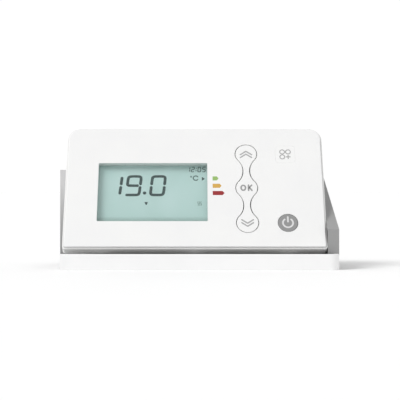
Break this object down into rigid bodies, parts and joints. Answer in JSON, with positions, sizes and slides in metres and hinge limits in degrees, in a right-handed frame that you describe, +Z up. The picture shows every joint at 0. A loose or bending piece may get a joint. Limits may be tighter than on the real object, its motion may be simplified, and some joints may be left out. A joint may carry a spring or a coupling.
{
  "type": "wall thermostat",
  "caption": "Leaning thermostat head with display, three-lobed key, menu and power keys, on a short grey housing end with a white front rail.",
  "frame": {"origin": "middle of the base, at the bottom of the part's bounding box", "axes": "+X to the viewer's right along the front rail, -Y out of the front, +Z up; the wall is at +Y"},
  "size_m": [0.1222, 0.055, 0.0606],
  "materials": {
    "white_plastic": "fine-textured moulded white ABS",
    "shell_plastic": "moulded white ABS",
    "clear_window": "clear polished acrylic",
    "holder_plastic": "moulded",
    "display_glass": "reflective liquid-crystal cell",
    "clear_acrylic": "clear acrylic",
    "white_film": "white polyester film",
    "dark_silicone": "silicone with carbon layers",
    "lamp_body": "small lamp body",
    "circuit_board": "solder-masked glass-fibre board",
    "chip_black": "moulded epoxy",
    "ceramic_tan": "ceramic parts",
    "connector_nylon": "natural nylon",
    "grey_silicone": "silicone rubber",
    "key_white": "fine-textured moulded white ABS",
    "key_grey": "moulded grey ABS",
    "green_ink": "printed ink film",
    "amber_ink": "printed ink film",
    "red_ink": "printed ink film",
    "grey_plastic": "moulded pale grey ABS",
    "cap_plastic": "moulded mid-grey ABS",
    "rail_white": "white powder coat",
    "bracket_grey": "moulded glass-filled nylon",
    "black_rubber": "moulded rubber",
    "black_nylon": "moulded nylon",
    "relay_blue": "moulded case",
    "core_steel": "laminated core",
    "capacitor_sleeve": "shrink sleeve",
    "fuse_glass": "glass tube with metal ends",
    "varistor_blue": "epoxy dip",
    "cable_grey": "soft plastic sheath",
    "terminal_green": "moulded polyamide",
    "screw_steel": "zinc-plated steel",
    "sensor_epoxy": "epoxy bead"
  },
  "bodies": {
    "case": {"front_cover": "white_plastic", "rear_shell": "shell_plastic", "window_lens": "clear_window", "display_holder": "holder_plastic", "display_cell": "display_glass", "light_guide": "clear_acrylic", "reflector_film": "white_film", "contact_strip": "dark_silicone", "backlight_lamps": "lamp_body", "main_board": "circuit_board", "control_chip": "chip_black", "board_parts": "ceramic_tan", "board_socket": "connector_nylon", "key_mat": "grey_silicone", "green_mark": "green_ink", "amber_mark": "amber_ink", "red_mark": "red_ink", "cradle": "grey_plastic", "end_cap": "cap_plastic", "front_rail": "rail_white", "left_gusset": "bracket_grey", "right_gusset": "bracket_grey", "rear_hood": "grey_plastic", "cable_grommet": "black_rubber", "cable_clamp": "black_nylon", "power_board": "circuit_board", "relay": "relay_blue", "transformer": "core_steel", "capacitor": "capacitor_sleeve", "fuse": "fuse_glass", "varistor": "varistor_blue", "link_header": "connector_nylon", "link_cable": "cable_grey", "terminal_block": "terminal_green", "terminal_screws": "screw_steel", "sensor_holder": "holder_plastic", "sensor_bead": "sensor_epoxy", "sensor_lead": "cable_grey", "shell_screws": "screw_steel", "board_screws": "screw_steel", "gusset_screws": "screw_steel", "foot_screws": "screw_steel", "post_screws": "screw_steel", "hood_screws": "screw_steel", "clamp_screws": "screw_steel"},
    "ok": {"ok_key": "key_white"},
    "up": {"up_key": "key_white"},
    "down": {"down_key": "key_white"},
    "menu": {"menu_key": "key_white"},
    "power": {"power_key": "key_grey"}
  },
  "joints": [
    {"name": "ok_press", "type": "slide", "parent": "case", "child": "ok", "axis": [0, 0.866, -0.5], "range_m": [0, 0.00045], "stiffness_N_per_m": 1500, "deforming": ["key_mat"]},
    {"name": "up_press", "type": "hinge", "parent": "ok", "child": "up", "pos_m": [0.02265, -0.00483, 0.04129], "axis": [-1, 0, 0], "range_deg": [0, 3], "stiffness_Nm_per_rad": 0.2},
    {"name": "down_press", "type": "hinge", "parent": "ok", "child": "down", "pos_m": [0.02265, -0.01338, 0.02648], "axis": [1, 0, 0], "range_deg": [0, 3], "stiffness_Nm_per_rad": 0.2},
    {"name": "menu_press", "type": "slide", "parent": "case", "child": "menu", "axis": [0, 0.866, -0.5], "range_m": [0, 0.00045], "stiffness_N_per_m": 1500},
    {"name": "power_press", "type": "slide", "parent": "case", "child": "power", "axis": [0, 0.866, -0.5], "range_m": [0, 0.00045], "stiffness_N_per_m": 1500}
  ]
}
